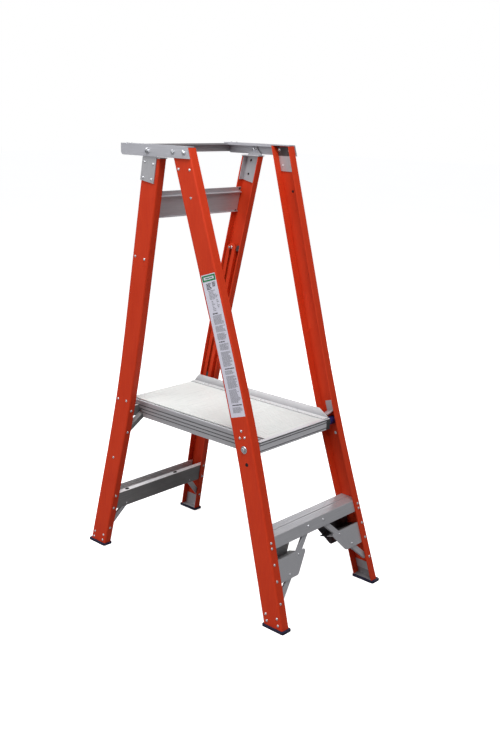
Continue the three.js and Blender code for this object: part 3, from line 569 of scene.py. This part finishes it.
def through_bolt(node, flange, across, height, radius, nut_place):
    """Stands for a CAD bolt across the ladder: a flanged head outside, a shank, and a flanged nut inside."""
    low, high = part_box(node)
    side = 1 if low.x > 0 else -1
    outer, inner = (high.x, low.x) if side > 0 else (low.x, high.x)
    y, z = (low.y + high.y) / 2, (low.z + high.z) / 2
    out = Vector((side, 0, 0))
    head = Vector((outer - side * height, y, z))
    mesh = bmesh.new()
    turn = RANDOM.uniform(0, math.pi / 3)
    hex_head(mesh, head, out, flange, across, height, turn)
    shank(mesh, head, out, radius, abs(head.x - inner))
    seat = Vector((inner + side * nut_place, y, z))
    hex_head(mesh, seat, -out, flange, across, nut_place - 1.5 * MM, turn + 0.4)
    bolt = as_piece(node.replace("bolt", "hexbolt"), mesh, "steel", "front_frame")
    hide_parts(node)


BOLTS = (
    # in millimetres: the flange's radius, the width across flats, the head's height, the shank's radius,
    # and how far the nut's seat is from the inner end
    ("top_hinge_bolt", 10.4, 14, 6.5, 6, 8),
    ("rail_bolt_front", 8.4, 10, 5.5, 4, 6.5),
    ("rail_bolt_rear", 8.4, 10, 5.5, 4, 6.5),
    ("platform_hinge_bolt", 13, 15, 7, 8, 8),
)
WEB_RIVETS = {
    # height and distance behind the stile's front edge, in millimetres
    ("front", "hinge"): [(635, 38.7), (610, 51.4), (616, 28.5)],
    ("front", "top"): [(1457, 67.3), (1457, 16.8)],
    ("front", "foot"): [(44, 64), (22, 64), (44, 15), (22, 15)],
    ("rear", "guide_top"): [(1149.5, 66.7), (1143, 19.2)],
    ("rear", "guide_foot"): [(607, 66), (607, 20)],
    ("rear", "middle"): [(371, 39)],
    ("rear", "foot"): [(42, 67), (20, 67), (42, 16), (20, 16)],
}
FLANGE_RIVETS = {
    # height in millimetres
    ("front", "step_end"): [285, 268],
    ("front", "gusset_end"): [216, 163],
    ("front", "brace_foot"): [92],
    ("rear", "middle_crossbar_end"): [568, 481],
    ("rear", "lower_crossbar_end"): [213, 161],
    ("rear", "brace_foot"): [73],
}
FLANGE_INSET = 14 * MM # from a stile's outer face to the rivets in its front flange
TOP_BRACKET_RIVETS = ((1472, 67), (1465, 25), (1420, 67), (1415, 25)) # as in WEB_RIVETS
BODY = {"front": "front_frame", "rear": "rear_frame"}

for name, side in SIDES:
    for (end, group), spots in WEB_RIVETS.items():
        stile = STILES[end, name]
        found = [stile.web(z * MM, depth * MM) for z, depth in spots]
        rivets(f"{end}_{group}_rivets_{name}", found, BODY[end])
    for (end, group), heights in FLANGE_RIVETS.items():
        stile = STILES[end, name]
        found = [stile.flange(z * MM, FLANGE_INSET) for z in heights]
        rivets(f"{end}_{group}_rivets_{name}", found, BODY[end])
    rear = STILES["rear", name]
    bracket = f"rear_top_bracket_{name}"
    found = [rear.web(z * MM, depth * MM, bracket) for z, depth in TOP_BRACKET_RIVETS]
    rivets(f"top_bracket_rivets_{name}", found, "rear_frame")


found = [in_front("step", x * MM, 0.282) for x in (-37, 42)]
rivets("step_skirt_rivets", found, "front_frame", 5.6 * MM)
for name, side in SIDES:
    gusset = f"step_gusset_{name}"
    spots = [(113, 210), (171, 161.5)]
    found = [in_front(gusset, side * x * MM, z * MM) for x, z in spots]
    rivets(f"gusset_rivets_{name}", found, "front_frame", 4.2 * MM)
for name, _ in SIDES:
    for bolt, *sizes in BOLTS:
        through_bolt(f"{bolt}_{name}", *(size * MM for size in sizes))
found = [in_front("lower_crossbar", x * MM, 0.162) for x in (-169, 169)]
rivets("lower_crossbar_rivets", found, "rear_frame", 3.6 * MM)


SHADED_HOLES = (
    # height, radius, and whether the black disc of painted shade is outside
    (0.527, 5.2 * MM, True),
    (1.369, 4 * MM, False),
)
HOLE_CENTRE = 40.5 * MM # behind the stile's front edge
BESIDE_HOLE = 52 * MM # the same way, to whole web
WEB_THICKNESS = 4.2 * MM
kickboard_spots = [(153, centre + offset) for centre in (284, 134, -17, -171) for offset in (-12, 12)]
found = [onto("kickboard", x, y, 700, DOWN) for x, y in kickboard_spots]
rivets("kickboard_rivets", found, "platform", 4.6 * MM)
for name, side in SIDES:
    rail = f"top_side_rail_{name}"
    found = [onto(rail, side * 255, y, 1600, DOWN) for y in (240, 266)]
    rivets(f"rail_corner_rivets_{name}", found, "front_frame", 4.2 * MM)
    found = [onto("upper_crossbar", side * x, 120, z, BACK) for x, z in ((236, 1364), (234.5, 1280.5))]
    rivets(f"upper_crossbar_rivets_{name}", found, "rear_frame", 5.2 * MM, "graphite")
    front = STILES["front", name]
    rear = STILES["rear", name]
    plate = f"front_top_plate_{name}"
    tails = [surface(plate, (0, front.edge(1.457) + d * MM, 1.457), (side, 0, 0)) for d in (16.8, 67.3)]
    rivets(f"top_plate_tails_{name}", tails, "front_frame", 4.8 * MM)

    # in the holes of the front stile: below, a black disc outside and a steel tail inside, and the other way
    # round above; the black discs are painted shade that darkens the holes
    black = bmesh.new()
    bright = bmesh.new()
    for z, radius, outside in SHADED_HOLES:
        beside, normal = front.web(z, BESIDE_HOLE)
        seat = Vector((beside.x, front.edge(z) + HOLE_CENTRE, z))
        inner = seat - normal * WEB_THICKNESS
        black_seat, black_way = (seat, normal) if outside else (inner, -normal)
        steel_seat, steel_way = (inner, -normal) if outside else (seat, normal)
        lathe(black, [
            (0, -1.8 * MM), (radius, -1.8 * MM), (radius, 0), (radius * 1.25, 0.05 * MM),
            (radius * 1.2, 0.5 * MM), (radius * 0.8, 0.6 * MM), (0, 0.3 * MM),
        ], black_seat, black_way)
        lathe(bright, [
            (0, -1.6 * MM), (radius, -1.6 * MM), (radius * 1.12, 0), (radius * 1.05, 0.5 * MM),
            (radius * 0.6, 0.7 * MM), (radius * 0.5, -0.4 * MM), (0, -0.5 * MM),
        ], steel_seat, steel_way)
    as_piece(f"hole_shade_discs_{name}", black, "black", "front_frame")
    as_piece(f"hole_tails_{name}", bright, "steel", "front_frame")
    # black buttons over the two holes of the rear stile's web: painted shade that darkens the holes
    dark = bmesh.new()
    for z in (1.418, 1.468):
        place, normal = surface(f"rear_stile_{name}", (0, rear.edge(z) + 54 * MM, z), (side, 0, 0))
        button = [(4.8 * MM, 0.1 * MM), (4.4 * MM, 0.8 * MM), (2 * MM, 1.2 * MM), (0, 1.3 * MM)]
        lathe(dark, button, place, normal)
    as_piece(f"rear_cap_plugs_{name}", dark, "black", "rear_frame")
    head = bmesh.new()
    place, normal = surface(f"guide_channel_{name}", (0, rear.edge(1.143) + 52 * MM, 1.143), (side, 0, 0))
    hex_head(head, place, normal, 5.8 * MM, 8 * MM, 13 * MM, 0.3)
    as_piece(f"guide_top_bolt_{name}", head, "steel", "rear_frame")


OVAL = 1.8 # an oval shade disc's length as a share of its width


def oval_hole_shade():
    """Black discs of painted shade in the two oval holes of the lower crossbar's top lip."""
    mesh = bmesh.new()
    for x in (-168, 85):
        place, normal = onto("lower_crossbar", x + 14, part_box("lower_crossbar")[0].y / MM + 10, 400, DOWN)
        seat = Vector((x * MM, place.y, place.z))
        before = len(mesh.verts)
        lathe(mesh, [(0, -1.5 * MM), (4.8 * MM, -1.5 * MM), (4.8 * MM, 0.1 * MM), (5.4 * MM, 0.1 * MM),
                     (5.2 * MM, 0.6 * MM), (0, 0.5 * MM)], seat, normal)
        mesh.verts.ensure_lookup_table()
        for vertex in mesh.verts[before:]:
            vertex.co.x = seat.x + (vertex.co.x - seat.x) * OVAL
    as_piece("oval_hole_shade", mesh, "black", "rear_frame")


oval_hole_shade()


def nose_cap():
    """A dark sleeve with rounded corners over the end of the nose, on the kickboard's side."""
    low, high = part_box("platform_nose")
    front, back = low.y - 0.7 * MM, high.y - 1 * MM
    bottom, top = low.z - 0.7 * MM, high.z - 1.5 * MM
    corner = 3 * MM
    outline = []
    for centre_y, centre_z, start in (
        (front + corner, bottom + corner, 180), (back - corner, bottom + corner, 270),
        (back - corner, top - corner, 0), (front + corner, top - corner, 90),
    ):
        for step in range(4):
            angle = math.radians(start + 30 * step)
            outline.append((centre_y + corner * math.cos(angle), centre_z + corner * math.sin(angle)))
    mesh = bmesh.new()
    middle_y, middle_z = (front + back) / 2, (bottom + top) / 2
    rings = []
    for x, shrink in ((high.x - 19 * MM, 0), (high.x - 0.3 * MM, 0), (high.x + 0.6 * MM, 1 * MM)):
        ring = []
        for y, z in outline:
            inset_y = y - math.copysign(shrink, y - middle_y)
            inset_z = z - math.copysign(shrink, z - middle_z)
            ring.append(mesh.verts.new((x, inset_y, inset_z)))
        rings.append(ring)
    for first, second in zip(rings, rings[1:]):
        for i in range(len(outline)):
            j = (i + 1) % len(outline)
            mesh.faces.new([first[i], first[j], second[j], second[i]])
    mesh.faces.new(rings[0])
    mesh.faces.new(rings[-1])
    as_piece("nose_end_cap", mesh, "graphite", "platform")


nose_cap()


# ---------------------------------------------------------------- the label on the front left stile
LABEL_STILE = STILES["front", "left"]
LABEL_REAR, LABEL_FRONT = 73 * MM, 5 * MM
LABEL_TOP, LABEL_BOTTOM = 1.123, 0.670
LABEL_RISE = 0.020 # its top and bottom edges are square to the leaning stile


def label_point(u, v, lift):
    """u goes from the rear edge to the front one, and v from the top down, both from 0 to 1."""
    z = LABEL_TOP + (LABEL_BOTTOM - LABEL_TOP) * v + LABEL_RISE * u
    place, normal = LABEL_STILE.web(z, LABEL_REAR + (LABEL_FRONT - LABEL_REAR) * u)
    return place + normal * lift


def label_patch(mesh, left, top, right, bottom, lift, steps=1):
    previous = None
    for i in range(steps + 1):
        v = top + (bottom - top) * i / steps
        row = [mesh.verts.new(label_point(u, v, lift)) for u in (left, right)]
        if previous:
            mesh.faces.new([previous[0], previous[1], row[1], row[0]])
        previous = row


def greeked_rows(mesh, left, top, right, bottom, rows, ragged, word, thick=0.55):
    """Rows of short bars that stand for lines of text, with an uneven right-hand edge."""
    pitch = (bottom - top) / rows
    for i in range(rows):
        start = top + pitch * i
        end = right - RANDOM.uniform(0, ragged)
        u = left + RANDOM.uniform(0, 0.015)
        while u < end - 0.02:
            length = min(RANDOM.uniform(*word), end - u)
            label_patch(mesh, u, start, u + length, start + pitch * thick, 0.34 * MM)
            u += length + RANDOM.uniform(0.012, 0.028)


def label():
    film = bmesh.new()
    label_patch(film, 0, 0, 1, 1, 0.18 * MM, steps=40)
    frame_bars = bmesh.new()
    for left, top, right, bottom in (
        (0.03, 0.006, 0.97, 0.017), (0.03, 0.037, 0.97, 0.048), (0.03, 0.017, 0.14, 0.037),
        (0.86, 0.017, 0.97, 0.037), (0.24, 0.024, 0.76, 0.030),
    ):
        label_patch(frame_bars, left, top, right, bottom, 0.3 * MM)
    dark = bmesh.new()
    greeked_rows(dark, 0.22, 0.062, 0.58, 0.108, 5, 0.08, (0.10, 0.22), 0.66)
    greeked_rows(dark, 0.64, 0.058, 0.90, 0.092, 4, 0.05, (0.10, 0.2), 0.66)
    for heading, right in ((0.268, 0.62), (0.466, 0.66), (0.655, 0.93), (0.912, 0.93)):
        greeked_rows(dark, 0.24, heading, right, heading + 0.010, 1, 0.02, (0.08, 0.2), 0.8)
    pale = bmesh.new()
    greeked_rows(pale, 0.28, 0.112, 0.80, 0.150, 4, 0.2, (0.08, 0.2))
    greeked_rows(pale, 0.26, 0.150, 0.90, 0.178, 3, 0.3, (0.05, 0.14))
    greeked_rows(pale, 0.34, 0.184, 0.58, 0.258, 7, 0.14, (0.05, 0.1))
    greeked_rows(pale, 0.70, 0.180, 0.88, 0.240, 5, 0.14, (0.05, 0.1))
    for top, bottom, rows in (
        (0.284, 0.350, 9), (0.358, 0.402, 6), (0.410, 0.458, 7), (0.484, 0.530, 7), (0.540, 0.645, 15),
        (0.672, 0.700, 4), (0.710, 0.800, 13), (0.806, 0.902, 13), (0.930, 0.972, 6),
    ):
        greeked_rows(pale, 0.21, top, 0.93, bottom, rows, 0.22, (0.05, 0.16), 0.66)
    for name, mesh, look in (
        ("label_film", film, "film"), ("label_frame", frame_bars, "green"), ("label_headings", dark, "ink"),
        ("label_lines", pale, "pale_ink"),
    ):
        as_piece(name, mesh, look, "front_frame", smooth=False)


label()


# ---------------------------------------------------------------- floor, light and camera
WORLD_FILL = 0.30
FLOOR_BOUNCE = 0.3 # the floor's colour for every ray but the camera's
FLOOR_GLOW = 0.72 # added to the floor as the camera sees it
SOFTBOXES = (
    # name, place, what it points at, size in metres and power in watts
    ("overhead", (-1.1, -1.2, 3.7), (0, 0, 0.6), (1.7, 1.7), 96),
    ("behind", (-0.5, 2.3, 2.6), (0, 0.3, 0.3), (1.6, 1.2), 30),
    ("right", (3.7, 1.3, 1.5), (0, 0, 0.8), (1.8, 2.2), 42),
    ("side", (-3.6, 0.9, 1.9), (0, 0, 1.1), (1.8, 2.2), 42),
)
# solved from the edges of the ladder in the photograph
CAMERA_PLACE = (-2.3873, -2.2565, 1.6362)
CAMERA_TURN = (47.758, -15.467, 1.426) # yaw from +Y towards +X, pitch and roll, in degrees
CAMERA_LENS = 45.47


def stage_floor():
    """A plain pale floor. It is seen as bright as the studio's backdrop, and bounces little light back up."""
    bpy.ops.mesh.primitive_plane_add(size=60, location=(0, 0, 0))
    floor = bpy.context.object
    floor.name = "studio_floor"
    look = Look("studio_floor", Roughness=0.95, Specular_IOR_Level=0.0)
    tint = look.noise(0.8, detail=2)
    pale = look.mix(look.spread(tint, 0.3, 0.7), (0.93, 0.93, 0.93), (0.95, 0.95, 0.95))
    seen = look.node("LightPath").outputs["Is Camera Ray"]
    look.colour(look.mix(seen, (FLOOR_BOUNCE,) * 3, pale))
    look.shader.inputs["Emission Color"].default_value = (1, 1, 1, 1)
    glow = look.node("Math", operation="MULTIPLY")
    glow.inputs[1].default_value = FLOOR_GLOW
    look.join(seen, glow, 0)
    look.join(glow.outputs[0], look.shader, "Emission Strength")
    floor.data.materials.append(look.material)


def studio_world():
    """A white backdrop as it is seen, and a dimmer even fill as a light."""
    world = bpy.data.worlds.new("studio")
    world.use_nodes = True
    tree = world.node_tree
    fill = tree.nodes["Background"]
    fill.inputs["Color"].default_value = (0.96, 0.97, 1.0, 1)
    fill.inputs["Strength"].default_value = WORLD_FILL
    backdrop = tree.nodes.new("ShaderNodeBackground")
    backdrop.inputs["Color"].default_value = (1, 1, 1, 1)
    mix = tree.nodes.new("ShaderNodeMixShader")
    seen = tree.nodes.new("ShaderNodeLightPath").outputs["Is Camera Ray"]
    tree.links.new(seen, mix.inputs[0])
    tree.links.new(fill.outputs[0], mix.inputs[1])
    tree.links.new(backdrop.outputs[0], mix.inputs[2])
    tree.links.new(mix.outputs[0], tree.nodes["World Output"].inputs["Surface"])
    bpy.context.scene.world = world


def softbox(name, place, aim, size, energy):
    data = bpy.data.lights.new(name, "AREA")
    data.shape = "RECTANGLE"
    data.size, data.size_y = size
    data.energy = energy
    lamp = bpy.data.objects.new(name, data)
    lamp.location = place
    lamp.rotation_euler = (Vector(aim) - Vector(place)).to_track_quat("-Z", "Y").to_euler()
    bpy.context.scene.collection.objects.link(lamp)


def studio_camera():
    """The photograph's view: from the climber's front left, a little above the guard frame."""
    yaw, pitch, roll = (math.radians(angle) for angle in CAMERA_TURN)
    forward = Vector((math.sin(yaw) * math.cos(pitch), math.cos(yaw) * math.cos(pitch), math.sin(pitch)))
    right = Vector((math.cos(yaw), -math.sin(yaw), 0))
    up = right.cross(forward)
    across = right * math.cos(roll) + up * math.sin(roll)
    over = up * math.cos(roll) - right * math.sin(roll)
    data = bpy.data.cameras.new("camera")
    data.lens = CAMERA_LENS
    data.sensor_width = 36
    data.clip_end = 100
    camera = bpy.data.objects.new("camera", data)
    turned = Matrix((across, over, -forward)).transposed().to_4x4()
    camera.matrix_world = Matrix.Translation(CAMERA_PLACE) @ turned
    bpy.context.scene.collection.objects.link(camera)
    bpy.context.scene.camera = camera


stage_floor()
studio_world()
for softbox_settings in SOFTBOXES:
    softbox(*softbox_settings)
studio_camera()
bpy.context.scene.view_settings.view_transform = "Standard"
